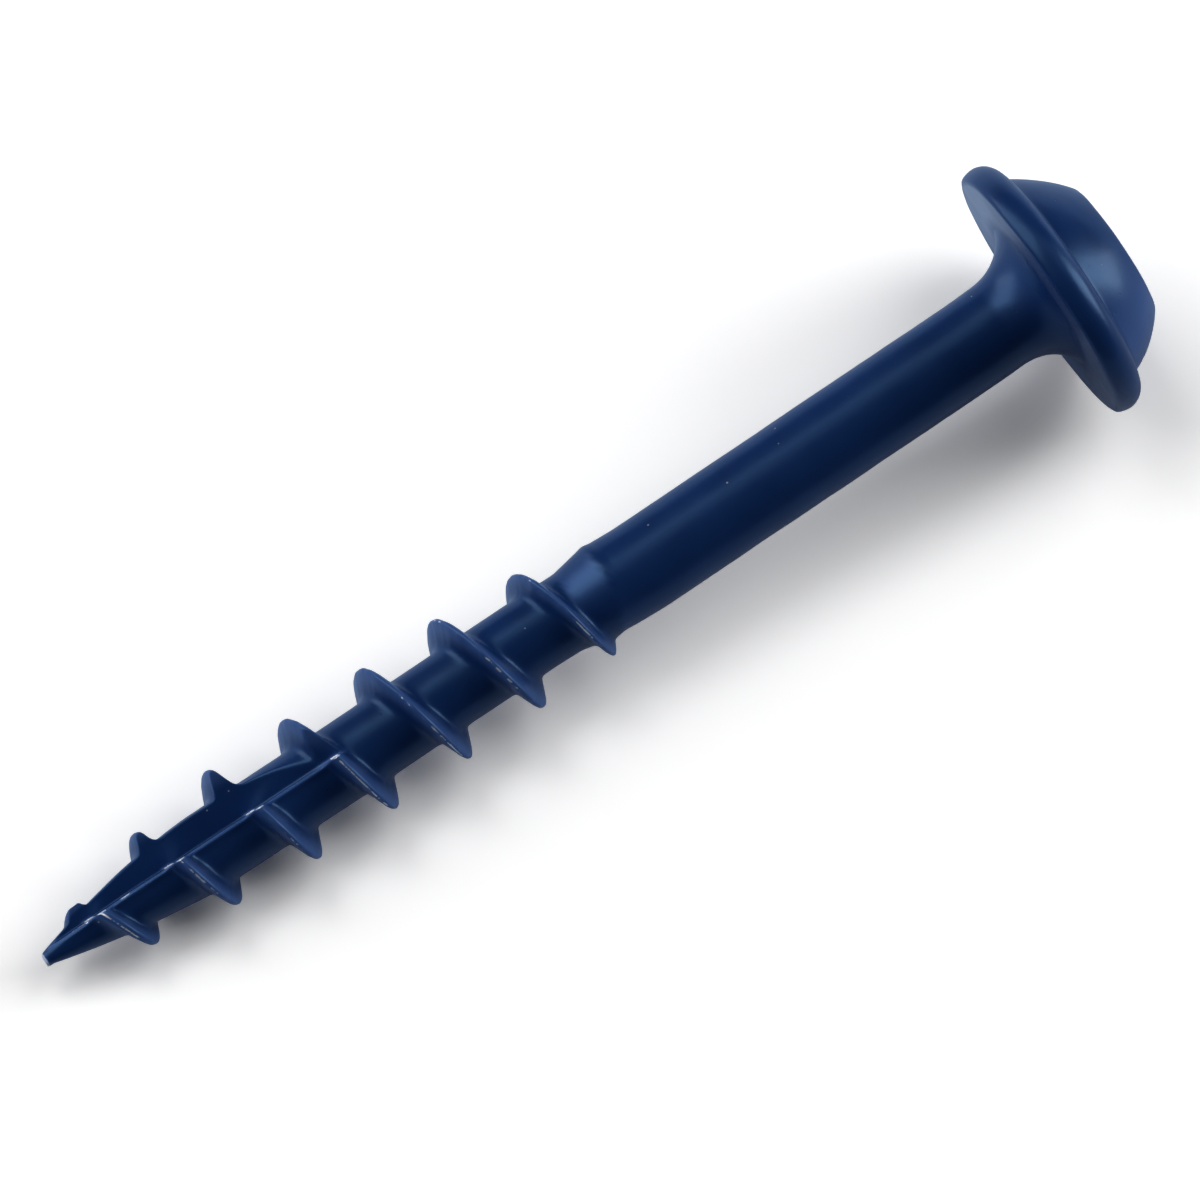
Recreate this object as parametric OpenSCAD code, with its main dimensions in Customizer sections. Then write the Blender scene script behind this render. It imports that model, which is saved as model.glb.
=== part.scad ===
// Pocket hole screw: a wide washer head with a flat seat and a square drive, a plain shank, a
// thinner core with a coarse thread, and a point with one auger flute cut into it.
// Millimetres. The screw is drawn upright, the flange's seat at z = 0 and the point at
// z = -length, with +x as its upper side. It is then laid down as it comes to rest on a
// table, on its rim and one crest of the thread.

/* [Length] */
// Under the head: from the seat to the point
length = 38.1; // [32:0.1:64]
// From the point to where the plain shank starts
threaded_length = 21.6; // [18:0.1:26]

/* [Head] */
// Across the flange
flange_diameter = 9.15; // [8.4:0.05:11]
// Rounding of the rim on the seat's side
lower_rim = 0.43; // [0.25:0.01:0.5]
// Rounding of the rim on the dome's side
upper_rim = 0.68; // [0.5:0.01:0.75]
// Width of the flange outside the dome
flange_width = 0.9; // [0.8:0.05:1.3]
// Across the flat top of the dome
top_diameter = 4.5; // [4.3:0.05:5]
// From the seat to the top
head_height = 2.85; // [2.6:0.05:3.6]
// Radius of the dome's bulging side
dome_radius = 6; // [4:0.1:20]
// Radius of the fillet between shank and seat
fillet_radius = 1.8; // [1.7:0.05:3]
// How far the fillet reaches down the shank
fillet_length = 1.65; // [0.8:0.05:1.65]

/* [Drive] */
// Square recess, across its flats
drive_width = 2.82; // [2.2:0.01:2.9]
// Depth of its straight walls
drive_depth = 1.75; // [1:0.05:1.9]

/* [Shank and thread] */
// Plain shank
shank_diameter = 2.95; // [2.7:0.05:3.4]
// Core between the thread's turns
core_diameter = 2.55; // [2.2:0.05:2.65]
// Length of the cone from core to shank
neck_length = 1.7; // [0.8:0.1:2.5]
// Across the thread's crest
thread_diameter = 4.25; // [3.8:0.05:5]
// Advance of the thread in one turn
pitch = 2.89; // [2:0.01:3.6]
// Flat at the crest
crest_width = 0.1; // [0.06:0.01:0.3]
// Slope of each flank from a plane across the axis
flank_angle = 18; // [15:1:30]
// Where the crest would stand at the very point, turned from the upper side
thread_turn = 53; // [0:1:359]
// Length over which the thread dies away toward the shank
fade_length = 5.6; // [3:0.1:7]

/* [Point] */
// From the tip to the full core
point_length = 6.4; // [5:0.1:8]
// Across the blunt tip
tip_diameter = 0.3; // [0.15:0.01:0.4]
// Where the thread rises out of the point, from the tip
thread_start = 1.1; // [0.8:0.1:2]
// Where the thread reaches its full diameter, from the tip
full_thread = 7.5; // [6:0.1:10]

/* [Auger flute] */
// Turn of the flute's wall from the upper side
flute_turn = 13.3; // [0:0.1:60]
// Angle between the flute's wall and its floor
flute_angle = 79; // [70:1:90]
// Distance of the wall from the axis
wall_offset = 0.25; // [0.1:0.01:0.5]
// Slope of the floor from the tip to the run-out
floor_slope = 1.6; // [0.5:0.1:3]
// Length of that sloping floor
floor_length = 7.2; // [4:0.1:9]
// Radius of the run-out's curve
runout_radius = 6.3; // [3:0.1:12]
// Slope at which the run-out leaves the core
runout_slope = 20; // [12:1:30]

/* [Facets] */
// Straight pieces in one turn of the thread
steps = 36; // [18:2:40]

/* [Hidden] */
$fn = 96;

coating_blue = [0.05, 0.13, 0.35];
flange_r = flange_diameter/2;
flange_height = lower_rim + upper_rim;
shank_r = shank_diameter/2;
core_r = core_diameter/2;
crest_r = thread_diameter/2;
tip_r = tip_diameter/2;

// Heights h are counted from the point up, and this turns one into the screw's z
function up(h) = h - length;

// How fast core and crest widen from the point: above 1 is steep first, then ever flatter.
// The fade toward the shank is slow first, then ever steeper.
core_growth = 1.65;
crest_growth = 2.2;
fade_growth = 3;
function grown(part, growth) = 1 - pow(1 - min(max(part, 0), 1), growth);

// Radius of the body without its thread
neck_start = threaded_length - neck_length;
function core_at(h) =
    tip_r + (core_r - tip_r)*grown(h/point_length, core_growth)
    + (shank_r - core_r)*min(max((h - neck_start)/neck_length, 0), 1);

// Radius of the crest: both its ends are sunk a little under the body's surface
thread_first = thread_start - 0.1;
thread_last = threaded_length + 0.5;
sunk = 0.92;
function crest_at(h) =
    let (low = core_at(thread_first)*sunk,
         rising = (h - thread_first)/(full_thread - thread_first),
         fading = (h - thread_last + fade_length)/fade_length)
    low + (crest_r - low)*grown(rising, crest_growth)
    - (crest_r - shank_r*sunk)*pow(max(fading, 0), fade_growth);

// One section of the ridge at height h, as [half width, radius] from root over crest to root.
// Its shoulders are broken, and its root is sunk in the core.
shoulder = 0.07;
root_depth = 0.12;
function ridge_section(h) =
    let (crest = crest_at(h),
         root = min(core_at(h)*(1 - root_depth/core_r), crest - root_depth),
         edge = min(shoulder, (crest - root)/3),
         flat = crest_width/2,
         foot = flat + edge + (crest - edge - root)*tan(flank_angle))
    [[-foot, root], [-flat - edge, crest - edge], [-flat, crest],
     [flat, crest], [flat + edge, crest - edge], [foot, root]];

// The ridge: the section above, carried round and up by the pitch, with flat ends
module thread() {
    count = ceil((thread_last - thread_first)/pitch*steps);
    sides = len(ridge_section(full_thread));
    points = [for (i = [0:count])
        let (h = thread_first + (thread_last - thread_first)*i/count,
             turn = thread_turn + 360*h/pitch)
        for (p = ridge_section(h)) [p[1]*cos(turn), p[1]*sin(turn), up(h) + p[0]]];
    skin = [for (i = [0:count - 1]) for (j = [0:sides - 1])
        let (a = i*sides + j, b = i*sides + (j + 1)%sides)
        each [[a, b, b + sides], [a, b + sides, a + sides]]];
    start = [for (j = [sides - 1:-1:0]) j];
    end = [for (j = [0:sides - 1]) count*sides + j];
    polyhedron(points, concat(skin, [start, end]));
}

// Half section of point, core and shank
module body_half() {
    stations = 10;
    bunching = 1.4;
    polygon(concat([[0, up(0)]],
        [for (i = [0:stations])
            let (h = point_length*pow(i/stations, bunching)) [core_at(h), up(h)]],
        [[core_r, up(neck_start)], [shank_r, up(threaded_length)],
         [shank_r, lower_rim], [0, lower_rim]]));
}

// Centre of the circle of radius r through p and q, on the left of the way from p to q
function centre_left(p, q, r) =
    let (way = q - p, left = [-way[1], way[0]]/norm(way))
    (p + q)/2 + left*sqrt(r*r - way*way/4);

// Half section of the head. The rim is a small rounding below its widest line and a larger
// one above it, and the dome's side bulges between its foot and the edge of the flat top.
module head_half() {
    dome_foot = [flange_r - flange_width, flange_height];
    dome_top = [top_diameter/2, head_height];
    intersection() {
        union() {
            translate([flange_r - lower_rim, lower_rim]) circle(lower_rim);
            square([flange_r - lower_rim, lower_rim]);
        }
        square([flange_r + 1, lower_rim]);
    }
    intersection() {
        union() {
            translate([flange_r - upper_rim, lower_rim]) circle(upper_rim);
            translate([0, lower_rim]) square([flange_r - upper_rim, upper_rim]);
        }
        translate([0, lower_rim]) square([flange_r + 1, flange_height]);
    }
    intersection() {
        translate(centre_left(dome_foot, dome_top, dome_radius)) circle(dome_radius);
        translate([0, lower_rim]) square([flange_r, head_height - lower_rim]);
    }
    difference() {
        translate([0, -fillet_length])
            square([shank_r + fillet_radius*0.8, fillet_length + lower_rim/2]);
        translate([shank_r + fillet_radius, -fillet_length]) circle(fillet_radius);
    }
}

// Square recess: straight walls with blunt corners, the punch's shallow cone for a floor and
// a broken edge at the mouth
module recess() {
    corner_r = drive_width/2*sqrt(2)*0.93;
    cone_depth = drive_width*0.12;
    mouth = 0.15;
    half = drive_width/2;
    translate([0, 0, head_height - drive_depth]) {
        intersection() {
            translate([-half, -half, 0]) cube([drive_width, drive_width, head_height]);
            cylinder(r = corner_r, h = head_height);
        }
        translate([0, 0, -cone_depth]) cylinder(r1 = mouth, r2 = half, h = cone_depth);
    }
    translate([0, 0, head_height - mouth])
        cylinder(r1 = half, r2 = half + 3*mouth, h = 3*mouth);
}

// What the flute's cutter takes away. Its floor climbs gently from the tip, then curves up
// and out of the core. Its wall is flat and runs beside the axis.
module flute() {
    pieces = 6;
    reach = crest_r + 2;
    start_depth = floor_length*tan(floor_slope);
    curve = [for (i = [0:pieces])
        let (a = floor_slope + (runout_slope - floor_slope)*i/pieces)
        [start_depth + runout_radius*(cos(floor_slope) - cos(a)),
         floor_length + runout_radius*(sin(a) - sin(floor_slope))]];
    leave = curve[pieces];
    floor_line = concat([[-tan(floor_slope), -1]], curve,
        [[reach, leave[1] + (reach - leave[0])/tan(runout_slope)], [reach, -1]]);
    intersection() {
        rotate([0, 0, flute_turn + 90 - flute_angle])
            translate([0, -wall_offset/2, up(0)])
                rotate([90, 0, 0])
                    linear_extrude(reach) polygon(floor_line);
        rotate([0, 0, flute_turn])
            translate([-reach, -wall_offset - 2*reach, up(-2)])
                cube([3*reach, 2*reach, length]);
    }
}

module upright_screw() {
    difference() {
        union() {
            rotate_extrude() body_half();
            rotate_extrude() head_half();
            thread();
        }
        flute();
        recess();
    }
}

// Tilt at rest. For each place where the crest points down, a plane under that crest and
// under the rim's lower rounding has the slope rest_tilt, and the flattest one is the table.
function rest_tilt(h) =
    let (fall = flange_r - lower_rim - crest_at(h), run = lower_rim - up(h))
    atan2(fall, run) + asin(lower_rim/norm([fall, run]));
function crest_down(n) = (360*n + 180 - thread_turn)/360*pitch;
turns = floor(threaded_length/pitch);
tilt = min([for (n = [0:turns]) if (crest_down(n) > thread_start) rest_tilt(crest_down(n))]);
seat_height = (flange_r - lower_rim)*cos(tilt) + lower_rim*(1 - sin(tilt));

// The screw laid down, its point toward -X and its head toward +X, with the origin on the
// table under the middle of its length
module screw() {
    middle = ((head_height - length)*cos(tilt) + (top_diameter/2 - tip_r)*sin(tilt))/2;
    color(coating_blue)
        translate([-middle, 0, seat_height])
            rotate([0, 90 - tilt, 0])
                rotate([0, 0, 180])
                    upright_screw();
}

screw();
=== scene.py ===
import math

import bpy
import numpy as np
from mathutils import Matrix, Vector


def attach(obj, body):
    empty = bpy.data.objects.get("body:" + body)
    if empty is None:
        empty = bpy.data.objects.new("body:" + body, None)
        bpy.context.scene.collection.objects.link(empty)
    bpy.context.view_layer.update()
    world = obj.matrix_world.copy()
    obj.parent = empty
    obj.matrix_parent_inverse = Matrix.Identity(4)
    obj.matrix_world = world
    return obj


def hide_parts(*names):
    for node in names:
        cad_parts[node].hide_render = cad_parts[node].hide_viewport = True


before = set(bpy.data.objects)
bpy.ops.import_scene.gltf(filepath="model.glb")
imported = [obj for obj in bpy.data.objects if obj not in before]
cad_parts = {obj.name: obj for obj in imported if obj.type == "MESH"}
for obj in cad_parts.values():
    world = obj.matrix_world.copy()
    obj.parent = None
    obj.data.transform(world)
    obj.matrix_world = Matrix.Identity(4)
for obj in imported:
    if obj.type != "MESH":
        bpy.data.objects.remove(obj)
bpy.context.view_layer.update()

bl_info = {
    "name": "Pocket hole screw",
    "version": (1, 0, 0),
    "blender": (4, 5, 0),
    "location": "View3D > Sidebar > Screw",
    "description": "Builds a blue pocket hole screw with a washer head and an auger point",
    "category": "Add Mesh",
}

MM = 1000.0


def linear(code):
    """Linear red, green and blue of an sRGB hex colour."""
    parts = [int(code[i:i + 2], 16)/255 for i in (1, 3, 5)]
    return tuple(c/12.92 if c <= 0.04045 else ((c + 0.055)/1.055)**2.4 for c in parts)


def length(name, description, default):
    """A length that a user may change, given here in millimetres."""
    return bpy.props.FloatProperty(name=name, description=description, default=default/MM,
                                   unit="LENGTH", subtype="DISTANCE", precision=5)


def angle(name, description, default):
    """An angle that a user may change, given here in degrees."""
    return bpy.props.FloatProperty(name=name, description=description,
                                   default=math.radians(default), subtype="ANGLE")


def colour(name, description, code):
    """A colour that a user may change, given here as sRGB hex."""
    return bpy.props.FloatVectorProperty(name=name, description=description, size=3,
                                         default=linear(code), min=0, max=1, subtype="COLOR")


class ScrewSizes(bpy.types.PropertyGroup):
    """The screw's sizes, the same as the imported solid's"""
    length: length("Under the head", "From the seat to the point", 38.1)
    threaded: length("Threaded length", "From the point to the plain shank", 21.6)
    tilt: angle("Tilt", "Slope at which the screw lies", 4.44068)
    flange: length("Flange", "Across the flange", 9.15)
    lower_rim: length("Rim under", "Rounding of the rim on the seat's side", 0.43)
    upper_rim: length("Rim above", "Rounding of the rim on the dome's side", 0.68)
    flange_width: length("Flange's width", "Width of the flange outside the dome", 0.9)
    top: length("Flat top", "Across the flat top of the dome", 4.5)
    head: length("Head's height", "From the seat to the top", 2.85)
    dome_radius: length("Dome", "Radius of the dome's bulging side", 6.0)
    fillet_radius: length("Fillet", "Radius of the fillet between shank and seat", 1.8)
    fillet_length: length("Fillet's length", "How far the fillet reaches", 1.65)
    drive_width: length("Drive", "Square recess, across its flats", 2.82)
    drive_depth: length("Drive's depth", "Depth of its straight walls", 1.75)
    shank: length("Shank", "Across the plain shank", 2.95)
    core: length("Core", "Across the core between the thread's turns", 2.55)
    neck: length("Neck", "Length of the cone from core to shank", 1.7)
    thread: length("Thread", "Across the thread's crest", 4.25)
    pitch: length("Pitch", "Advance of the thread in one turn", 2.89)
    crest: length("Crest", "Flat at the crest", 0.1)
    flank: angle("Flank", "Slope of each flank from a plane across the axis", 18)
    thread_turn: angle("Thread's turn", "Where the crest would stand at the very point", 53)
    fade: length("Fade", "Length over which the thread dies away", 5.6)
    point: length("Point", "From the tip to the full core", 6.4)
    tip: length("Tip", "Across the blunt tip", 0.3)
    thread_start: length("Thread's start", "Where the thread rises out of the point", 1.1)
    full_thread: length("Full thread", "Where the thread is at its full height", 7.5)
    flute_turn: angle("Flute's turn", "Turn of the flute's wall from the upper side", 13.3)
    flute_angle: angle("Flute's angle", "Angle between the flute's wall and floor", 79)
    wall_offset: length("Wall's offset", "Distance of the flute's wall from the axis", 0.25)
    floor_slope: angle("Floor's slope", "Slope of the flute's floor up to the run-out", 1.6)
    floor_length: length("Floor's length", "Length of that sloping floor", 7.2)
    runout_radius: length("Run-out", "Radius of the run-out's curve", 6.3)
    runout_slope: angle("Run-out's slope", "Slope at which it leaves the core", 20)


class ScrewLooks(bpy.types.PropertyGroup):
    """Colours, the coating's make and the camera"""
    coat: colour("Coating", "Blue of the cured coating where it is thick", "#122D5F")
    coat_thin: colour("Thin coating", "Blue where the coating is thinner", "#163469")
    shine: colour("Shine", "Tint that the coating gives to its highlights", "#8FC6FF")
    steel: colour("Steel", "Bare zinc-plated steel at the worn edges", "#F0F5FF")
    # On the seat this grey is partly a painted reflection of the lit floor
    seat: colour("Seat", "Thin dull coat on the flange's seat", "#8C98AC")
    # This colour also paints highlights on the neck, the fillet, the dome and the flute's lip
    rubbed: colour("Rubbed coat", "Coating rubbed thin along the edges", "#3F5E9A")
    dust: colour("Dust", "Dust and chipped specks in the coating", "#AEB6C2")
    floor: colour("Floor", "Plain pale table", "#DEDEDE")
    exposure: bpy.props.FloatProperty(name="Exposure", default=1.8, min=0,
                                      description="How much brighter the camera sees the floor")
    floor_gloss: bpy.props.FloatVectorProperty(
        name="Floor in the gloss", size=3, default=(0.58, 0.8, 1.15), min=0,
        description="Tint of the lit floor as the screw's gloss shows it")
    # A painted shade: the board as the screw's gloss and bounce see it is darker on the camera's
    # side
    floor_painted_shade: bpy.props.FloatVectorProperty(
        name="Dim floor", size=3, default=(0.4, 0.49, 0.64), min=0,
        description="The same on the camera's side, where the floor is dimmer")
    edge: length("Coated edge", "Width over which the coating rounds an edge", 0.07)
    lump: length("Lumps", "Height of the coating's lumps", 0.012)
    distance: length("Distance", "From the camera to the screw", 450)
    field: length("Field", "Width that the camera sees at that distance", 38.095)


# Shape of the screw

def smooth_max(a, b, k):
    """The larger of a and b, and where they are within k of each other, that plus a quarter
    of k times the square of how near they are: a rounded corner."""
    near = np.maximum(k - np.abs(a - b), 0)/k
    return np.maximum(a, b) + near*near*k/4


def smooth_min(a, b, k):
    """The smaller of a and b with its corner filled, in the same way."""
    return -smooth_max(-a, -b, k)


def ease(x):
    """0 below 0, 1 above 1, and 3x^2 - 2x^3 between."""
    x = np.clip(x, 0, 1)
    return x*x*(3 - 2*x)


def lumps(places, grain, seed):
    """Smooth noise from -1 to 1: each place is looked up in a grid of random numbers that is
    grain wide, and the eight numbers round it are blended with eased weights."""
    size = 24
    table = np.random.default_rng(seed).uniform(-1, 1, (size, size, size))
    scaled = places/grain
    cell = np.floor(scaled).astype(int)
    part = ease(scaled - cell)
    total = np.zeros(len(places))
    for corner in np.ndindex(2, 2, 2):
        weight = np.ones(len(places))
        for axis in range(3):
            weight *= part[:, axis] if corner[axis] else 1 - part[:, axis]
        index = (cell + np.array(corner)) % size
        total += weight*table[index[:, 0], index[:, 1], index[:, 2]]
    return total


def grown(part, growth):
    """1 - (1 - part)^growth: steep first, then ever flatter."""
    return 1 - (1 - np.clip(part, 0, 1))**growth


def smooth_curve(at, places, values, count, reach):
    """A smooth curve through the values at those places: the broken line through them, taken
    at count points from 1 mm before the first to 1 mm after the last, is averaged with a bell
    that reaches over so many points each way."""
    fine = np.linspace(places[0] - 1, places[-1] + 1, count)
    bell = np.exp(-(np.linspace(-3, 3, 2*reach + 1))**2/2)
    line = np.pad(np.interp(fine, places, values), reach, mode="edge")
    return np.interp(at, fine, np.convolve(line, bell/bell.sum(), "valid"))


def turned(x, y, turn):
    """Coordinates of x, y in a frame turned by that angle about the axis."""
    c, s = math.cos(turn), math.sin(turn)
    return x*c + y*s, y*c - x*s


ANGLES = {"tilt", "flank", "thread_turn", "flute_turn", "flute_angle", "floor_slope",
          "runout_slope"}
# How steeply the point bulges, and how steeply the crest rises out of it
POINT_GROWTH, CREST_GROWTH = 1.65, 2.2
# The crest starts and ends a little under the skin, at this share of its radius
UNDER_SKIN = 0.92
# What the rolls left on the real screw, read from the photograph, in millimetres: its point is
# a little thicker, and its neck is shorter, ends lower and has a raised edge
POINT_THICKER = 0.05
NECK_SHORTER, NECK_LOWER, NECK_EDGE = 0.5, 0.45, 0.04
# How far the neck's end climbs and sinks round the axis. It is highest at azimuth -30 degrees
NECK_ASKEW, NECK_TURN = 0.42, math.radians(30)
# Heights above the tip at which the crest's sides were read from the photograph, and how far
# they stand above or below the even crest
HIGHS_AND_LOWS = ([0, 1.8, 3.4, 4.8, 6.3, 7.8, 16.4, 17.8, 19.1, 20.5, 22],
                  [0, 0.1, 0.12, -0.12, -0.09, 0.05, 0.04, 0, -0.1, 0.1, 0])
# Heights above the tip, and how far above its even place the crest lies there
SLIPS = ([1.8, 3.4, 4.7, 6.3, 7.8, 10, 13.5, 14.9, 16.4, 17.8, 19.1, 19.8, 20.6, 22],
         [-0.2, -0.05, -0.15, -0.06, -0.04, 0, 0, -0.06, -0.09, -0.107, -0.04, -0.07, -0.2, -0.2])


def crest_slip(h):
    """How far a turn lies from its even place: a smooth curve through SLIPS."""
    return smooth_curve(h, *SLIPS, 1200, 15)


class Form:
    """The screw's sizes in millimetres and the formulas of its surface. Heights h are counted
    from the point along the screw's axis."""

    def __init__(self, sizes, looks):
        for name in sizes.__annotations__:
            value = getattr(sizes, name)
            setattr(self, name, value if name in ANGLES else value*MM)
        self.edge = looks.edge*MM
        self.lump = looks.lump*MM
        self.shank_r, self.core_r = self.shank/2, self.core/2
        self.crest_r, self.tip_r, self.flange_r = self.thread/2, self.tip/2, self.flange/2
        self.first, self.last = self.thread_start - 0.1, self.threaded + 0.5
        self.low_end = self.thread_start - 0.2
        self.high_end = self.threaded + 1.0
        # The seat's centre on the table: the rim's lower rounding touches the table, and the
        # middle of the screw's length lies over the origin
        c, s = math.cos(self.tilt), math.sin(self.tilt)
        self.seat_height = (self.flange_r - self.lower_rim)*c + self.lower_rim*(1 - s)
        self.seat_place = ((self.length - self.head)*c - (self.top/2 - self.tip_r)*s)/2

    def core_at(self, h, azimuth=None):
        """Radius of the body without its thread: a bulging point, the straight core and a cone
        up to the shank, with a small round nose. The rolls left the real cone a little
        shorter and askew, so that it ends higher on one side than on the other, in a low
        raised edge that dies away within 0.35 mm, and the point a little thicker."""
        r = self.tip_r + (self.core_r - self.tip_r)*grown(h/self.point, POINT_GROWTH)
        end, neck = self.threaded - NECK_LOWER, self.neck - NECK_SHORTER
        if azimuth is not None:
            end = end + NECK_ASKEW*np.cos(azimuth + NECK_TURN)
        cone = smooth_max((h - end + neck)/neck, 0*h, 0.05)
        r = r + (self.shank_r - self.core_r + NECK_EDGE)*smooth_min(cone, 0*h + 1, 0.02)
        r = r - NECK_EDGE*ease((h - end)/0.35)
        r = r + POINT_THICKER*(1 - ease(h/5))
        nose = np.clip(h/0.13, 0, 1)
        return r*np.sqrt(1 - (1 - nose)**2)

    def crest_at(self, h, azimuth=None):
        """Radius of the crest: it rises out of the point and dies away toward the shank. The
        real crest is rolled a little unevenly: at its two sides, as the photograph shows them,
        it stands off by the amounts of HIGHS_AND_LOWS."""
        low = self.core_at(np.minimum(h, self.first))*UNDER_SKIN
        rising = (h - self.first)/(self.full_thread - self.first)
        fading = np.clip((h - self.last + self.fade)/self.fade, 0, 1.2)
        crest = (low + (self.crest_r - low)*grown(rising, CREST_GROWTH)
                 - (self.crest_r - self.shank_r*UNDER_SKIN)*fading**3)
        if azimuth is not None:
            side = np.sin(azimuth - self.flute_turn)**2
            crest = crest + side*np.interp(h, *HIGHS_AND_LOWS)
        return crest

    def floor_depth(self, h):
        """Distance of the flute's floor from the axis: a gentle slope, then an arc up to the
        run-out's slope, then straight out."""
        a, b = self.floor_slope, self.runout_slope
        start = self.floor_length*math.tan(a)
        arc = np.clip((h - self.floor_length)/self.runout_radius + math.sin(a), -1, math.sin(b))
        curve = start + self.runout_radius*(math.cos(a) - np.sqrt(1 - arc*arc))
        leave = self.floor_length + self.runout_radius*(math.sin(b) - math.sin(a))
        out = curve + np.maximum(h - leave, 0)*math.tan(b)
        return np.where(h < self.floor_length, h*math.tan(a), out)

    def flute_share(self, h):
        """1 where the flute is cut into the core, 0 where its floor has left it."""
        return ease((self.core_r - self.floor_depth(h) + 0.25)*4)

    def ridge_offset(self, x, y, h):
        """Distance along the axis from the nearest turn of the crest."""
        along = h - crest_slip(h - crest_slip(h))
        along = along - self.pitch*(np.arctan2(y, x) - self.thread_turn)/(2*math.pi)
        return (along + self.pitch/2) % self.pitch - self.pitch/2

    def flute_places(self, x, y, h):
        """Distance outside the flute's floor, distance outside its wall, and place along the
        wall, above 0 on the side where the flute is cut."""
        wall_x, wall_y = turned(x, y, self.flute_turn)
        floor_x = turned(x, y, self.flute_turn + math.pi/2 - self.flute_angle)[0]
        return self.floor_depth(h) - floor_x, wall_y + self.wall_offset, wall_x

    def outside(self, x, y, h, rough):
        """Below 0 inside the metal, 0 on its skin. The core and the ridge are joined by a
        fillet, the ridge being the innermost of its two flanks, its two shoulders and its
        crest, which is blunter near the point. The flute is everything above its floor and
        beside its wall, and it is cut off with rounded edges. A low bead, a bell in section,
        runs along the top of the wall."""
        r = np.hypot(x, y)
        offset = self.ridge_offset(x, y, h)
        azimuth = np.arctan2(y, x)
        crest = self.crest_at(h - offset, azimuth) + rough
        flat, shoulder = self.crest/2 + 0.14*(1 - ease((h - 1)/2.6)), 0.07
        flank = ((np.abs(offset) - flat - shoulder)*math.cos(self.flank)
                 + (r - crest + shoulder)*math.sin(self.flank))
        corner = (np.abs(offset) - flat + r - crest)/math.sqrt(2)
        ridge = smooth_max(smooth_max(flank, corner, 0.05), r - crest, 0.04)
        to_floor, to_wall, wall_x = self.flute_places(x, y, h)
        bead_height, bead_place, bead_width = 0.07, 0.1, 0.14
        bead = bead_height*np.exp(-((to_wall - bead_place)/bead_width)**2)*(wall_x > 0)
        bead = bead*self.flute_share(h)*ease(h/2)
        fillet = 0.02 + 0.24*ease((crest - self.core_at(h))/0.4)
        body = smooth_min(r - self.core_at(h, azimuth) - bead, ridge, fillet)
        cut = smooth_max(to_floor, to_wall, 0.12)
        return smooth_max(body, -cut, self.edge)


# Azimuth of the thread's first column, and the flute's turn for which the columns are listed,
# in degrees
FIRST_COLUMN, LISTED_TURN = -66, 13.3


def thread_columns(form):
    """Azimuths of the columns round the thread: close together where the edges of the
    flute's floor and wall run. Each span has its first and last azimuth, as they are at the
    turn LISTED_TURN, and its number of columns."""
    spans = [(FIRST_COLUMN, -30, 46), (-30, -1, 18), (-1, 10, 26), (10, 294, 102)]
    parts = [np.linspace(a, b, n, endpoint=False) for a, b, n in spans]
    turn = math.degrees(form.flute_turn) - LISTED_TURN
    return np.radians(np.concatenate(parts) + turn)


def even_columns(count):
    """As many azimuths at even steps, turned so that they lie near the thread's."""
    return np.radians(FIRST_COLUMN - 47 + 360/count*np.arange(count))


def skin_points(form, azimuth, h):
    """Points of the point, thread and core. From a centre a little off the axis, on the side
    that the flute leaves, a ray goes out to the crest's circle at this azimuth and height.
    The skin is where the ray leaves the metal, found by halving the interval 26 times."""
    crest = np.maximum(form.crest_at(h), form.core_at(h))
    reach = np.maximum(crest, 0.25)
    share = form.core_at(h)/form.core_r*(1 - ease((h - 16)/4))
    turn = form.flute_turn
    off_x, off_y = -0.42, 0.22
    centre_x = share*(off_x*math.cos(turn) - off_y*math.sin(turn))
    centre_y = share*(off_x*math.sin(turn) + off_y*math.cos(turn))
    ray_x = reach*np.cos(azimuth) - centre_x
    ray_y = reach*np.sin(azimuth) - centre_y
    nominal = np.stack([reach*np.cos(azimuth), reach*np.sin(azimuth), h], -1)
    rough = 0.016*lumps(nominal, 0.5, 3) + 0.014*lumps(nominal, 0.22, 5)
    inner, outer = np.zeros_like(h), np.full_like(h, 1.3)
    for _ in range(26):
        middle = (inner + outer)/2
        out = form.outside(centre_x + middle*ray_x, centre_y + middle*ray_y, h, rough) > 0
        outer = np.where(out, middle, outer)
        inner = np.where(out, inner, middle)
    return np.stack([centre_x + inner*ray_x, centre_y + inner*ray_y, h], -1)


def ridge_rows(form):
    """Offsets of the helical rows from the crest, dense at the crest, its shoulders and its
    roots, over one pitch. They are listed for a pitch of 2.89 mm."""
    half = np.array([0.03, 0.06, 0.09, 0.13, 0.18, 0.23, 0.28, 0.33, 0.375, 0.42, 0.47, 0.53,
                     0.62, 0.76, 0.92, 1.1, 1.28])
    half = half*form.pitch/2.89
    return np.concatenate([-form.pitch/2 + 0*half[:1], -half[::-1], [0], half])


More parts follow.
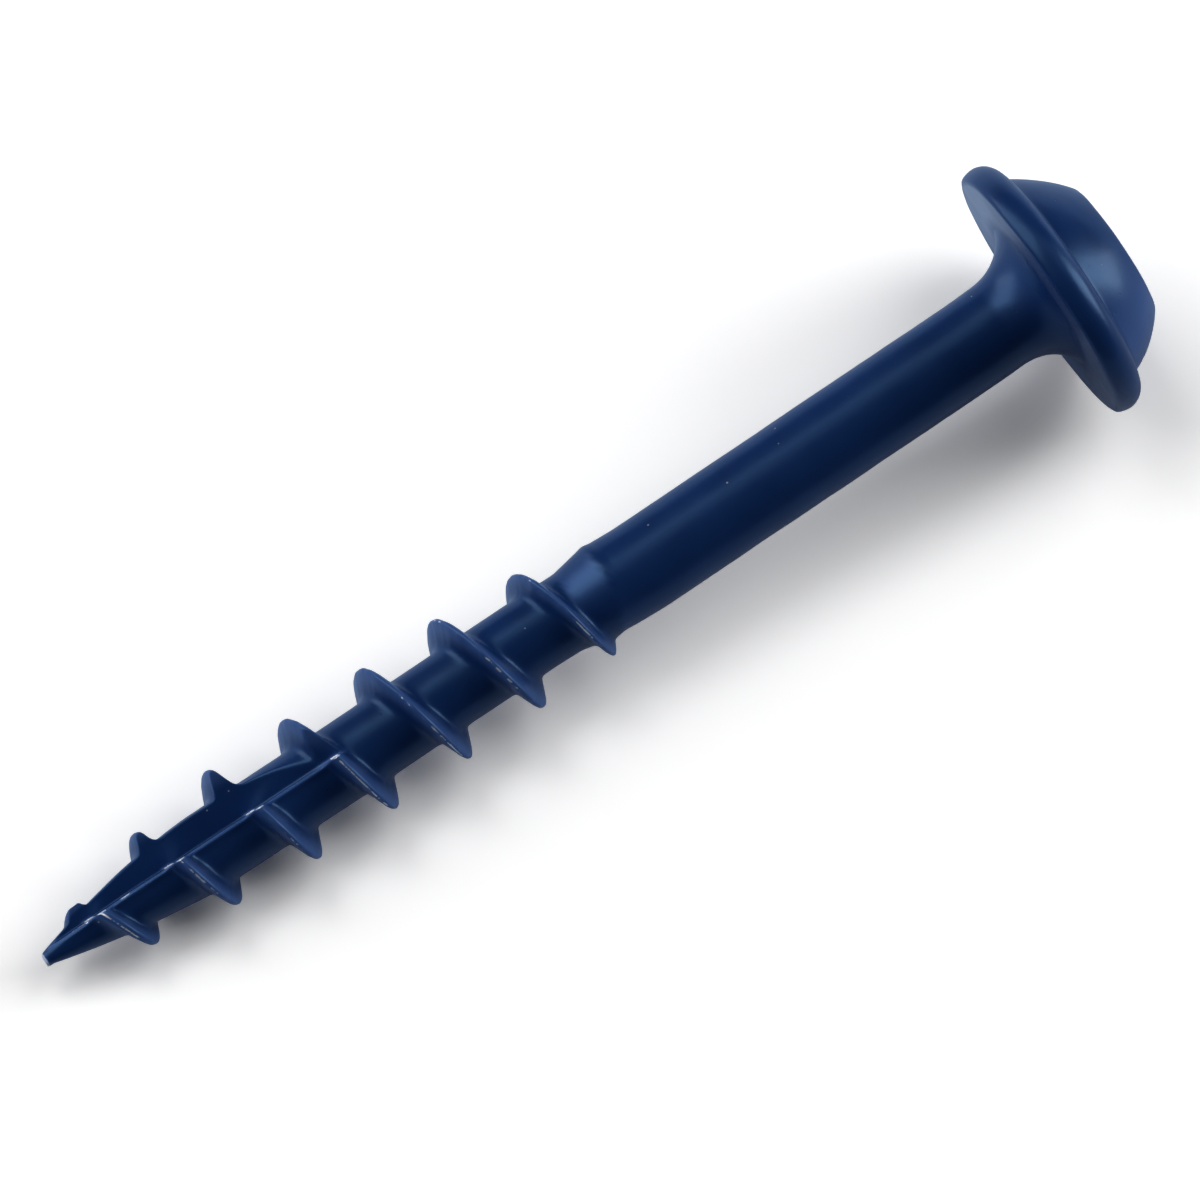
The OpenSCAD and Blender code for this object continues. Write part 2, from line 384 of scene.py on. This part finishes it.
def threaded_part(form):
    """Grid of the thread. Its rows follow the crest round and up: their height is
    offset + pitch*(azimuth - start)/360 + whole pitches, and after one turn a row meets the
    one a pitch higher. Where rows pass the thread's two ends they end in one ring each.
    Returns the azimuths and heights of the points, the faces, and the two rings."""
    azimuth = thread_columns(form)
    columns = len(azimuth)
    offsets = ridge_rows(form)
    per_turn = len(offsets)
    turns = int(math.ceil((form.high_end - form.low_end)/form.pitch)) + 3
    base = (np.arange(-2, turns)[:, None]*form.pitch + offsets[None, :]).ravel()
    rise = form.pitch*(azimuth - form.thread_turn)/(2*math.pi)
    h = base[:, None] + rise[None, :]
    h = h + crest_slip(h)
    near = 0.02
    below, above = h < form.low_end + near, h > form.high_end - near
    inside = ~(below | above)
    index = np.zeros(h.shape, int)
    low_ring = np.arange(columns)
    high_ring = columns + np.arange(columns)
    index[inside] = 2*columns + np.arange(inside.sum())
    index = np.where(below, low_ring[None, :], index)
    index = np.where(above, high_ring[None, :], index)
    rows = len(base)
    # The column after the last one is the first one again, a pitch further on
    ahead = np.minimum(np.arange(rows) + per_turn, rows - 1)
    wrapped = np.concatenate([index, index[ahead, :1]], 1)
    quads = np.stack([wrapped[:-1, :-1], wrapped[:-1, 1:], wrapped[1:, 1:], wrapped[1:, :-1]], -1)
    quads = quads[:rows - 1 - per_turn].reshape(-1, 4)
    wide = np.broadcast_to(azimuth, h.shape)
    all_azimuth = np.concatenate([azimuth, azimuth, wide[inside]])
    all_h = np.concatenate([np.full(columns, form.low_end), np.full(columns, form.high_end),
                            h[inside]])
    return all_azimuth, all_h, quads, low_ring, high_ring


def ring_faces(lower, upper):
    """Quads between two closed rings of the same number of points."""
    return np.stack([lower, np.roll(lower, -1), np.roll(upper, -1), upper], -1)


def arc_points(centre, radius, start, end, count):
    """Points on a circle's arc, angles in degrees."""
    a = np.radians(np.linspace(start, end, count))
    return np.stack([centre[0] + radius*np.cos(a), centre[1] + radius*np.sin(a)], -1)


def head_profile(form):
    """Half section of the head from the shank to the edge of the flat top, as radius and z:
    fillet, flat seat, the rim's narrow corner and its steep lower side, the rounding above,
    the flange's top and the bulging dome. Its corners are rounded by a running mean along the
    line. As the photograph shows, the rim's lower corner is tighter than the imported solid's
    and the dome bulges 0.1 mm more."""
    fillet_centre = (form.shank_r + form.fillet_radius, -form.fillet_length)
    meet = math.degrees(math.asin(form.fillet_length/form.fillet_radius))
    corner = 0.12
    upper = form.flange_r - form.upper_rim
    flange_top = form.lower_rim + form.upper_rim
    foot = np.array([form.flange_r - form.flange_width + 0.07, flange_top])
    edge = np.array([form.top/2 + 0.06, form.head])
    way = edge - foot
    left = np.array([-way[1], way[0]])/np.hypot(*way)
    bulge = form.dome_radius*0.75
    centre = (foot + edge)/2 + left*math.sqrt(bulge**2 - way @ way/4)
    start = math.degrees(math.atan2(*(foot - centre)[::-1]))
    end = math.degrees(math.atan2(*(edge - centre)[::-1]))
    line = np.concatenate([
        [[form.shank_r, -form.fillet_length - 0.6]],
        arc_points(fillet_centre, form.fillet_radius, 180, 180 - meet, 40),
        arc_points((form.flange_r - 0.19, corner), corner, -90, -8, 12),
        [[form.flange_r - 0.02, form.lower_rim*0.6]],
        arc_points((upper, form.lower_rim), form.upper_rim, 0, 90, 32),
        arc_points(centre, bulge, start, end, 40),
        [[form.top/2 - 0.15, form.head]]])
    return line


def even_line(line, spacing):
    """The same line with points at even steps along it."""
    steps = np.hypot(*np.diff(line, axis=0).T)
    along = np.concatenate([[0], np.cumsum(steps)])
    count = int(round(along[-1]/spacing)) + 1
    at = np.linspace(0, along[-1], count)
    return np.stack([np.interp(at, along, line[:, i]) for i in (0, 1)], -1)


def rounded_line(line, width):
    """The line with its corners rounded by a bell-shaped running mean along it. The ends
    stay where they are."""
    spacing = 0.02
    fine = even_line(line, spacing)
    reach = int(round(3*width/spacing))
    bell = np.exp(-(np.arange(-reach, reach + 1)*spacing/width)**2/2)
    bell /= bell.sum()
    before = 2*fine[0] - fine[reach:0:-1]
    after = 2*fine[-1] - fine[-2:-reach - 2:-1]
    padded = np.concatenate([before, fine, after])
    return np.stack([np.convolve(padded[:, i], bell, "valid") for i in (0, 1)], -1)


def recess_radius(form, azimuth):
    """Radius of the square recess: its flat walls, with blunt corners."""
    half = form.drive_width/2
    flat = half/np.maximum(np.abs(np.cos(azimuth)), np.abs(np.sin(azimuth)))
    return smooth_min(flat, 0*flat + half*math.sqrt(2)*0.93, 0.05)


def recess_rings(form, azimuth):
    """Rings from the flat top's edge over the mouth, down the walls and over the floor's
    shallow cone. Each is a radius for every column and a z, between two outlines."""
    half = form.drive_width/2
    wall = recess_radius(form, azimuth)
    mouth = smooth_max(wall, 0*wall + half + 0.15, 0.05)
    z = form.head
    bottom = z - form.drive_depth
    cone = form.drive_width*0.12
    outer = form.top/2 - 0.15
    keys = [(outer + 0*wall, z), (mouth + 0.04, z), (mouth + 0.01, z - 0.012),
            (mouth*0.8 + wall*0.2, z - 0.045), (wall + 0.005, z - 0.15), (wall, z - 0.22),
            (wall, bottom + 0.06), (wall - 0.02, bottom + 0.015), (wall - 0.06, bottom),
            (np.minimum(wall - 0.07, half), bottom - 0.004), (0.15 + 0*wall, bottom - cone),
            (0.04 + 0*wall, bottom - cone)]
    counts = [4, 2, 2, 3, 2, 9, 2, 2, 2, 9, 2]
    radii, heights = [], []
    for (r0, z0), (r1, z1), count in zip(keys[:-1], keys[1:], counts):
        for part in np.arange(1, count + 1)/count:
            radii.append(r0 + (r1 - r0)*part)
            heights.append(z0 + (z1 - z0)*part)
    return np.array(radii), np.array(heights)


def screw_surface(form):
    """The whole skin in the screw's own frame, z = 0 at the seat: the nose's rings, the
    thread's helical grid, the shank's rings, the turned head and the recess. Returns points,
    faces and at each point how worn the coat is, with its painted highlights, from 0 to 1, or
    below 0 on the seat, where it is dull and carries a painted reflection."""
    azimuth, h, faces, low_ring, high_ring = threaded_part(form)
    columns = len(low_ring)
    nose = np.array([0.006, 0.02, 0.045, 0.08, 0.12, 0.18, 0.26, 0.36, 0.47, 0.58, 0.69, 0.8])
    nose = nose*form.low_end/0.9
    azimuth = np.concatenate([azimuth, np.tile(thread_columns(form), len(nose))])
    h = np.concatenate([h, np.repeat(nose, columns)])
    points = skin_points(form, azimuth, h)
    bare = thread_wear_and_highlights(form, points)
    points[:, 2] -= form.length
    blocks, wear_and_painted_light_parts, all_faces = [points], [bare], [faces]
    first = len(points) - len(nose)*columns
    rings = [first + i*columns + np.arange(columns) for i in range(len(nose))] + [low_ring]
    all_faces += [ring_faces(a, b) for a, b in zip(rings[:-1], rings[1:])]

    # Shank and head: each ring is a radius for every column and a height
    own = thread_columns(form)
    even = even_columns(columns)
    shank_end = -form.fillet_length - 0.6
    shank_start = form.high_end - form.length
    shank = np.linspace(shank_start, shank_end, 30)[1:]
    head = rounded_line(head_profile(form), 0.045)
    keep = even_line(head, 0.085)[1:]
    recess_r, recess_z = recess_rings(form, even)
    count = len(shank) + len(keep) + len(recess_z)
    radius = np.concatenate([np.full((len(shank), columns), form.shank_r),
                             np.repeat(keep[:, :1], columns, 1), recess_r])
    z = np.concatenate([shank, keep[:, 1], recess_z])
    part = ease((z - shank_start)/(shank_end - shank_start))
    turn = own[None, :] + (even - own)[None, :]*part[:, None]
    x, y = radius*np.cos(turn), radius*np.sin(turn)
    ring_points = np.stack([x, y, np.repeat(z[:, None], columns, 1)], -1)
    start = sum(len(b) for b in blocks)
    blocks.append(ring_points.reshape(-1, 3))
    wear_and_painted_light_parts.append(head_highlights_and_dull_seat(form, x, y, radius, z).ravel())
    rings = [high_ring] + [start + i*columns + np.arange(columns) for i in range(count)]
    all_faces += [ring_faces(a, b) for a, b in zip(rings[:-1], rings[1:])]

    # The two ends are closed by one point each
    start = sum(len(b) for b in blocks)
    blocks.append(np.array([[0, 0, -form.length], [0, 0, recess_z[-1]]]))
    wear_and_painted_light_parts.append(np.array([1.0, 0.0]))
    quads = np.concatenate(all_faces)
    nose_ring, floor_ring = first + np.arange(columns), rings[-1]
    caps = np.concatenate([
        np.stack([np.roll(nose_ring, -1), nose_ring, 0*nose_ring + start], -1),
        np.stack([floor_ring, np.roll(floor_ring, -1), 0*floor_ring + start + 1], -1)])
    return np.concatenate(blocks), quads, caps, np.concatenate(wear_and_painted_light_parts)


def azimuth_bell(x, y, middle, width):
    """A bell round the azimuth of its middle, both in degrees."""
    off = (np.degrees(np.arctan2(y, x)) - middle + 180) % 360 - 180
    return np.exp(-(off/width)**2)


def head_highlights_and_dull_seat(form, x, y, radius, z):
    """The coat's state on rings of the shank and the head: painted highlights, lighter up to 0.4,
    on one side of the dome and of the fillet, and on the seat, below 0, a thin dull grey coat with
    a painted reflection of the lit floor: most on the seat's upper side, and less on the lower."""
    seat_r = form.shank_r + form.fillet_radius*0.75
    flat = (1 - ease((z - 0.05)/0.05))*(z > -0.05)
    from_fillet = ease((radius - seat_r + 0.3)/0.7)
    to_rim = ease((form.flange_r - 0.22 - radius)/0.12)
    # A painted reflection of the lit floor on the seat: strongest on its upper side, weaker on the
    # lower
    painted_reflection_side = np.maximum(0.12, azimuth_bell(x, y, -76, 48) + 0.25*azimuth_bell(x, y, 104, 48))
    dull_and_painted_reflection = flat[:, None]*from_fillet*to_rim*painted_reflection_side
    on_dome = ease((z - 1.1)/0.2)*(1 - ease((z - form.head + 0.12)/0.12))
    on_fillet = ease((z + 1.8)/0.4)*(1 - ease((z + 0.6)/0.5))
    # Painted highlights on one side of the dome and of the fillet
    painted_highlights = (0.36*on_dome[:, None]*azimuth_bell(x, y, 64, 34)
               + 0.2*on_fillet[:, None]*azimuth_bell(x, y, -10, 20))
    return painted_highlights - dull_and_painted_reflection


def thread_wear_and_highlights(form, points):
    """How worn the coating is on the thread and the point, 0 to 1: worn through in dashes
    along the crest's lower corner, on the ridge's cut ends at the flute's wall, in patches
    along the wall's top, and at the very tip. Up to 0.4 it is only lighter: toward the crest,
    along the wall's top, where it is rubbed thin and painted as a highlight, and on the neck in
    one patch, a painted highlight."""
    x, y, h = points.T
    r = np.hypot(x, y)
    offset = form.ridge_offset(x, y, h)
    crest = form.crest_at(h - offset)
    standing = ease((crest - form.core_at(h))/0.25)
    from_corner = np.abs(offset + 0.04)
    on_crest = (1 - ease((from_corner - 0.015)/0.045))*ease((r - crest + 0.08)/0.05)*standing
    patches = 0.5 + 0.5*lumps(points, 0.55, 11)
    fine = 0.5 + 0.5*lumps(points, 0.16, 12)
    rubbed = azimuth_bell(x, y, 40, 34)
    worn = on_crest*np.clip(0.35*rubbed - 0.1 + 1.55*patches*fine, 0, 1)
    height = (r - form.core_at(h))/np.maximum(crest - form.core_at(h), 0.05)
    worn = np.maximum(worn, 0.28*ease(height*1.4 - 0.25)*standing)
    # A painted highlight on the neck, in one patch on one side
    neck = azimuth_bell(x, y, -17, 24)*ease((h - form.threaded + 1.5)/0.2)
    worn = np.maximum(worn, 0.4*neck*(1 - ease((h - form.threaded + 0.2)/0.12)))
    to_wall, wall_x = form.flute_places(x, y, h)[1:]
    at_wall = np.exp(-(to_wall/0.07)**2)*(wall_x > 0)*(h > 0.3)
    at_wall = at_wall*form.flute_share(h)
    worn = np.maximum(worn, at_wall*(1 - ease((np.abs(offset) - 0.1)/0.12))*standing)
    # The wall's top is rubbed thin and painted lighter as a highlight, up to 0.4, and worn through
    # in patches near the point
    lip = at_wall*ease((r - form.core_at(h) + 0.1)/0.06)
    worn = np.maximum(worn, lip*(0.4 + ease((patches*fine - 0.5)/0.15)*(1 - ease((h - 2.2)/2))))
    tip = 1 - ease((h - 0.03)/0.12)
    return np.clip(np.maximum(worn, tip), 0, 1)


def bent(form, points):
    """The screw as it really is, a little out of true: each part is moved sideways, across
    the photograph's view, by a smooth curve through the offsets of tip, thread, shank, flange
    and dome, which are listed for a length of 38.1 mm."""
    z = np.array([-38.1, -34.5, -31, -27, -19.5, -17.7, -16.4, -15.5, -2.5, -0.6, 1.2, 2, 3])
    side = np.array([-0.16, -0.18, -0.14, -0.09, -0.08, -0.03, 0.01, 0.06, 0.07, 0, 0, 0.08, 0.08])
    move = smooth_curve(points[:, 2]*38.1/form.length, z, side, 2000, 20)
    view = form.flute_turn
    points = points.copy()
    points[:, 0] -= move*math.sin(view)
    points[:, 1] += move*math.cos(view)
    return points


def coated(form, points, normals):
    """The skin with the coating's lumps: moved along its normals by two sizes of noise,
    inward on the head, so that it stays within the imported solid's box, and outward on the
    shank."""
    rough = 0.7*lumps(points + 50, 1.1, 21) + 0.3*lumps(points + 50, 0.5, 22)
    z = points[:, 2] + form.length - form.threaded
    shank = ease((z + 0.4)/0.4)*(1 - ease((points[:, 2] + 1.5)/1))
    return points + normals*(form.lump*(rough - 0.8 + 2.2*shank))[:, None]


def vertex_normals(points, quads, caps):
    """Normals at the points: the sum of the cross products of the faces round each."""
    total = np.zeros_like(points)
    for faces in (quads, caps):
        a, b, c = points[faces[:, 0]], points[faces[:, 1]], points[faces[:, 2]]
        d = points[faces[:, -1]]
        normal = np.cross(c - a, d - b) if faces.shape[1] == 4 else np.cross(b - a, c - a)
        for corner in faces.T:
            np.add.at(total, corner, normal)
    size = np.linalg.norm(total, axis=1)
    return total/np.maximum(size, 1e-12)[:, None]


def laid_down(form, points):
    """From the screw's own frame to the table's, in metres: x of its upper side goes to the
    slope's normal, y is mirrored with the half turn, and z climbs by the tilt toward +X."""
    c, s = math.cos(form.tilt), math.sin(form.tilt)
    turn = np.array([[-s, 0, c], [0, -1, 0], [c, 0, s]])
    seat = np.array([form.seat_place, 0, form.seat_height])
    return (points @ turn + seat)/MM


def mesh_object(name, points, quads, caps):
    """A smooth-shaded object from the points and faces. A quad with two equal corners is
    made a triangle, and one with fewer than three different corners is left out."""
    same = quads == np.roll(quads, -1, axis=1)
    different = 4 - same.sum(1)
    whole = quads[different == 4]
    triple = quads[different == 3]
    keep = ~same[different == 3]
    triangles = triple[keep].reshape(-1, 3)
    faces = whole.tolist() + triangles.tolist() + caps.tolist()
    mesh = bpy.data.meshes.new(name)
    mesh.from_pydata(points.tolist(), [], faces)
    mesh.validate()
    mesh.shade_smooth()
    piece = bpy.data.objects.new(name, mesh)
    bpy.context.scene.collection.objects.link(piece)
    return piece


# Materials

def add_node(tree, kind, links=None, values=None, **settings):
    """Adds a node: settings are its own properties, values its sockets' numbers, and links
    its sockets' inputs."""
    node = tree.nodes.new(kind)
    for name, value in settings.items():
        setattr(node, name, value)
    for name, value in (values or {}).items():
        node.inputs[name].default_value = value
    for name, socket in (links or {}).items():
        tree.links.new(socket, node.inputs[name])
    return node


def coating_material(looks):
    """Dip-spun blue polymer coating over zinc-plated steel, cured in an oven: a satin, slightly
    lumpy skin whose highlights are tinted blue, because light passes the coating and comes
    back from the metal. It is rubbed through to bright steel along the crest."""
    material = bpy.data.materials.new("blue_polymer_coating_over_steel")
    material.use_nodes = True
    tree = material.node_tree
    tree.nodes.clear()
    place = add_node(tree, "ShaderNodeTexCoord").outputs["Object"]

    def noise(size_mm, detail, rough=0.5, distortion=0.0):
        return add_node(tree, "ShaderNodeTexNoise", {"Vector": place},
                        {"Scale": MM/size_mm, "Detail": detail, "Roughness": rough,
                         "Distortion": distortion}).outputs["Fac"]

    def ranged(value, low, high, out_low, out_high):
        return add_node(tree, "ShaderNodeMapRange", {"Value": value},
                        {"From Min": low, "From Max": high, "To Min": out_low,
                         "To Max": out_high}).outputs["Result"]

    def math_node(kind, a, b):
        node = add_node(tree, "ShaderNodeMath", operation=kind)
        for i, value in enumerate((a, b)):
            if isinstance(value, (int, float)):
                node.inputs[i].default_value = value
            else:
                tree.links.new(value, node.inputs[i])
        return node.outputs[0]

    def mixed(factor, a, b):
        node = add_node(tree, "ShaderNodeMix", {"Factor": factor}, data_type="RGBA")
        for i, value in ((6, a), (7, b)):
            if isinstance(value, bpy.types.NodeSocket):
                tree.links.new(value, node.inputs[i])
            else:
                node.inputs[i].default_value = (*value, 1)
        return node.outputs[2]

    # Thick and thin coating in clouds of about 2 mm
    clouds = ranged(noise(2.2, 2), 0.3, 0.7, 0, 1)
    blue = mixed(clouds, looks.coat, looks.coat_thin)
    # Dust and chips: the few cells whose middle lies on the skin, dots of about 0.06 mm
    cells = add_node(tree, "ShaderNodeTexVoronoi", {"Vector": place},
                     {"Scale": MM/0.9, "Randomness": 1.0})
    dots = ranged(cells.outputs["Distance"], 0.02, 0.045, 0.8, 0)
    pits = add_node(tree, "ShaderNodeTexVoronoi", {"Vector": place},
                    {"Scale": MM/0.75, "Randomness": 1.0})
    dark_dots = ranged(pits.outputs["Distance"], 0.02, 0.055, 0.6, 0)
    blue = mixed(dark_dots, blue, linear("#050A18"))
    blue = mixed(dots, blue, looks.dust)
    # Worn through: the crest's mask, its border broken up by grain of 0.07 mm
    worn = add_node(tree, "ShaderNodeAttribute", attribute_name="bare").outputs["Fac"]
    grain = noise(0.07, 2)
    steel = ranged(math_node("ADD", worn, math_node("MULTIPLY", grain, 0.5)), 0.8, 0.95, 0, 1)
    # Lighter up to 0.4: toward the crest, along edges where the coat is rubbed thin, and in
    # painted highlights on the neck, fillet, dome and flute's lip. Below 0, on the seat: a thin
    # dull grey coat with a painted reflection of the lit floor
    dull_and_painted_reflection = ranged(worn, -1, 0, 1, 0)
    blue = mixed(ranged(worn, 0, 0.4, 0, 1), blue, looks.rubbed)
    blue = mixed(dull_and_painted_reflection, blue, looks.seat)
    base = mixed(steel, blue, looks.steel)
    # Bare zinc has dulled and still has some coat in its grain, so it is half metallic
    metal = math_node("MULTIPLY", steel, 0.5)
    # Satin in clouds of about 1.3 mm, and matt where dust lies in it
    satin = ranged(noise(1.3, 2), 0.3, 0.7, 0.28, 0.35)
    roughness = math_node("ADD", satin, math_node("MULTIPLY", dots, 0.4))
    # Orange peel of 0.5 mm, 4 micrometres high, and a grain of 0.1 mm, 1 micrometre high
    peel = math_node("MULTIPLY", noise(0.5, 2), 4e-6)
    skin = math_node("ADD", peel, math_node("MULTIPLY", noise(0.1, 2), 1.2e-6))
    skin = math_node("ADD", skin, math_node("MULTIPLY", steel, -6e-6))
    skin = math_node("ADD", skin, math_node("MULTIPLY", dark_dots, -1e-5))
    bump = add_node(tree, "ShaderNodeBump", {"Height": skin}, {"Strength": 1.0, "Distance": 1.0})
    shader = add_node(tree, "ShaderNodeBsdfPrincipled",
                      {"Base Color": base, "Metallic": metal, "Roughness": roughness,
                       "Normal": bump.outputs["Normal"]},
                      {"IOR": 1.5, "Specular IOR Level": 0.6,
                       "Specular Tint": (*looks.shine, 1)})
    output = add_node(tree, "ShaderNodeOutputMaterial")
    tree.links.new(shader.outputs[0], output.inputs["Surface"])
    return material


def floor_material(looks):
    """Smooth white board, painted and matt. The photograph is exposed so that the board goes
    to full white and only its shadows are left. So for the camera its colour is raised above
    white. What the screw's gloss shows of the board is bluish, since the coating tints even
    what it reflects at a slant, where the shader's own gloss turns white. On the camera's side
    of the screw that colour is painted darker, as a shade."""
    material = bpy.data.materials.new("white_painted_board")
    material.use_nodes = True
    tree = material.node_tree
    tree.nodes.clear()
    rays = add_node(tree, "ShaderNodeLightPath").outputs
    own = np.array(looks.floor)
    place = add_node(tree, "ShaderNodeTexCoord").outputs["Object"]
    # A painted shade: toward the camera's side the board's colour for gloss and bounce goes to the
    # darker one
    across = add_node(tree, "ShaderNodeSeparateXYZ", {"Vector": place}).outputs["Y"]
    side = add_node(tree, "ShaderNodeMapRange", {"Value": across},
                    {"From Min": -0.003, "From Max": 0.002}).outputs["Result"]
    seen = add_node(tree, "ShaderNodeMix", {"Factor": side}, data_type="RGBA")
    seen.inputs[6].default_value = (*(own*np.array(looks.floor_painted_shade)), 1)
    seen.inputs[7].default_value = (*(own*np.array(looks.floor_gloss)), 1)
    raised = add_node(tree, "ShaderNodeMix", {"Factor": rays["Is Camera Ray"]},
                      data_type="RGBA", clamp_result=False)
    tree.links.new(seen.outputs[2], raised.inputs[6])
    raised.inputs[7].default_value = (*(own*looks.exposure), 1)
    matt = add_node(tree, "ShaderNodeBsdfDiffuse", {"Color": raised.outputs[2]})
    output = add_node(tree, "ShaderNodeOutputMaterial")
    tree.links.new(matt.outputs[0], output.inputs["Surface"])
    return material


# Stage

# How the photograph was taken: the camera stands so far round the screw's axis from its upper
# side, and sees it so far out of square
ROUND_AXIS, OUT_OF_SQUARE = math.radians(13.7), math.radians(4.84)
# In the picture a step along the screw goes so far right and so far up
ALONG_RIGHT, ALONG_UP = 0.8296, 0.5584
# From the picture's middle to the seat, along the screw's line and across it, and the picture's
# width, in pixels
SEAT_ALONG, SEAT_ACROSS, PICTURE = 533.9, 6.4, 1200
# Width of the camera's sensor, in millimetres
SENSOR = 36


def photo_axes(form):
    """The photograph's directions in the table's frame: away from the camera, along the screw
    and across it, as seen."""
    roll, out = ROUND_AXIS, OUT_OF_SQUARE
    c, s = math.cos(form.tilt), math.sin(form.tilt)
    along = Vector((c, 0, s))
    facing = math.cos(roll)*Vector((-s, 0, c)) + math.sin(roll)*Vector((0, -1, 0))
    away = math.sin(out)*along - math.cos(out)*facing
    seen_along = math.cos(out)*along + math.sin(out)*facing
    return away, seen_along, along.cross(facing)


def add_camera(form, looks):
    """The photograph's camera, placed so that the seat lies in the picture where it does in
    the photograph, and a millimetre is 31.5 pixels."""
    away, along, across = photo_axes(form)
    pixels = PICTURE/(looks.field*MM)
    deep = SEAT_ALONG/pixels*math.tan(OUT_OF_SQUARE)
    far = looks.distance*MM
    scale = (far + deep)/far
    seat = Vector((form.seat_place, 0, form.seat_height))
    place = (seat - SEAT_ALONG/pixels*scale*along + SEAT_ACROSS/pixels*scale*across
             - (far + deep)*away)/MM
    right = ALONG_RIGHT*along + ALONG_UP*across
    up = ALONG_UP*along - ALONG_RIGHT*across
    data = bpy.data.cameras.new("photo_camera")
    data.sensor_width = SENSOR
    data.lens = SENSOR*looks.distance/looks.field
    data.clip_start, data.clip_end = 0.01, 20
    camera = bpy.data.objects.new("photo_camera", data)
    turn = Matrix((right, up, -away)).transposed()
    camera.matrix_world = Matrix.Translation(place) @ turn.to_4x4()
    bpy.context.scene.collection.objects.link(camera)
    bpy.context.scene.camera = camera


def add_panel_light(form, name, first, last, low, high, distance, radiance, only=None):
    """A flat soft light that faces the screw. Seen from there it reaches from the first to
    the last azimuth, counted from the photograph's right toward its top, and from the low to
    the high elevation, all in degrees. It lights one object only, if one is given."""
    along, across = photo_axes(form)[1:]
    right = ALONG_RIGHT*along + ALONG_UP*across
    flat = math.atan2(right.y, right.x) + math.radians((first + last)/2)
    rise = math.radians((low + high)/2)
    width = 2*distance*math.cos(rise)*math.tan(math.radians(last - first)/2)
    height = 2*distance*math.tan(math.radians(high - low)/2)
    data = bpy.data.lights.new(name, "AREA")
    data.shape = "RECTANGLE"
    data.size, data.size_y = width, height
    data.energy = radiance*math.pi*width*height
    lamp = bpy.data.objects.new(name, data)
    way = Vector((math.cos(flat)*math.cos(rise), math.sin(flat)*math.cos(rise),
                  math.sin(rise)))
    lamp.location = way*distance
    lamp.rotation_euler = way.to_track_quat("Z", "Y").to_euler()
    bpy.context.scene.collection.objects.link(lamp)
    if only:
        lit = bpy.data.collections.new(name + "_lights")
        lit.objects.link(only)
        lamp.light_linking.receiver_collection = lit


def add_stage(form, looks):
    """Plain pale floor, soft lights at the left, the right and high above the screw's far
    side, and a dim room."""
    size = 4.0
    mesh = bpy.data.meshes.new("floor")
    mesh.from_pydata([(-size, -size, 0), (size, -size, 0), (size, size, 0), (-size, size, 0)],
                     [], [(0, 1, 2, 3)])
    floor = bpy.data.objects.new("floor", mesh)
    bpy.context.scene.collection.objects.link(floor)
    floor.data.materials.append(floor_material(looks))
    add_panel_light(form, "left_panel", 137, 184, 0, 66, 0.7, 2.1)
    add_panel_light(form, "right_panel", 7, 36, 0, 42, 0.7, 4.4)
    add_panel_light(form, "upper_panel", 40, 150, 50, 80, 0.9, 0.5)
    # In the photograph the board is white and its shadows are dark, as if its contrast had
    # been raised. Two high lights on the board alone deepen the shadows here.
    add_panel_light(form, "board_light_right", 0, 60, 35, 75, 0.9, 2.1, floor)
    add_panel_light(form, "board_light_far", 108, 142, 54, 72, 0.9, 4.2, floor)
    world = bpy.data.worlds.new("dim_room")
    world.use_nodes = True
    world.node_tree.nodes["Background"].inputs["Color"].default_value = (0.02, 0.02, 0.02, 1)
    bpy.context.scene.world = world
    bpy.context.scene.view_settings.view_transform = "Standard"


# Add-on

def current_form():
    """The form with the scene's sizes and looks."""
    scene = bpy.context.scene
    return Form(scene.screw_sizes, scene.screw_looks)


class SCREW_OT_make_screw(bpy.types.Operator):
    """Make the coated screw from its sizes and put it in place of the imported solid"""
    bl_idname = "screw.make_screw"
    bl_label = "Make the screw"

    def execute(self, context):
        form = current_form()
        points, quads, caps, bare = screw_surface(form)
        points = coated(form, points, vertex_normals(points, quads, caps))
        points = laid_down(form, bent(form, points))
        piece = mesh_object("coated_screw", points, quads, caps)
        if len(piece.data.vertices) != len(points):
            raise RuntimeError("the screw's mesh lost points")
        piece.data.attributes.new("bare", "FLOAT", "POINT").data.foreach_set(
            "value", bare.astype(np.float32))
        piece.data.materials.append(coating_material(context.scene.screw_looks))
        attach(piece, "root")
        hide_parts("screw")
        return {"FINISHED"}


class SCREW_OT_make_stage(bpy.types.Operator):
    """Add the floor, the lights and the photograph's camera"""
    bl_idname = "screw.make_stage"
    bl_label = "Make the stage"

    def execute(self, context):
        form = current_form()
        add_camera(form, context.scene.screw_looks)
        add_stage(form, context.scene.screw_looks)
        return {"FINISHED"}


class SCREW_PT_panel(bpy.types.Panel):
    """Sizes, colours and the two steps, in the 3D view's sidebar"""
    bl_idname = "SCREW_PT_panel"
    bl_label = "Pocket hole screw"
    bl_space_type = "VIEW_3D"
    bl_region_type = "UI"
    bl_category = "Screw"

    def draw(self, context):
        for group in (context.scene.screw_sizes, context.scene.screw_looks):
            column = self.layout.column()
            for name in group.__annotations__:
                column.prop(group, name)
        for step in (SCREW_OT_make_screw, SCREW_OT_make_stage):
            self.layout.operator(step.bl_idname)


CLASSES = (ScrewSizes, ScrewLooks, SCREW_OT_make_screw, SCREW_OT_make_stage, SCREW_PT_panel)


def register():
    for made in CLASSES:
        bpy.utils.register_class(made)
    bpy.types.Scene.screw_sizes = bpy.props.PointerProperty(type=ScrewSizes)
    bpy.types.Scene.screw_looks = bpy.props.PointerProperty(type=ScrewLooks)


def unregister():
    del bpy.types.Scene.screw_looks
    del bpy.types.Scene.screw_sizes
    for made in reversed(CLASSES):
        bpy.utils.unregister_class(made)


def main():
    register()
    bpy.ops.screw.make_screw()
    bpy.ops.screw.make_stage()


if __name__ == "__main__":
    main()
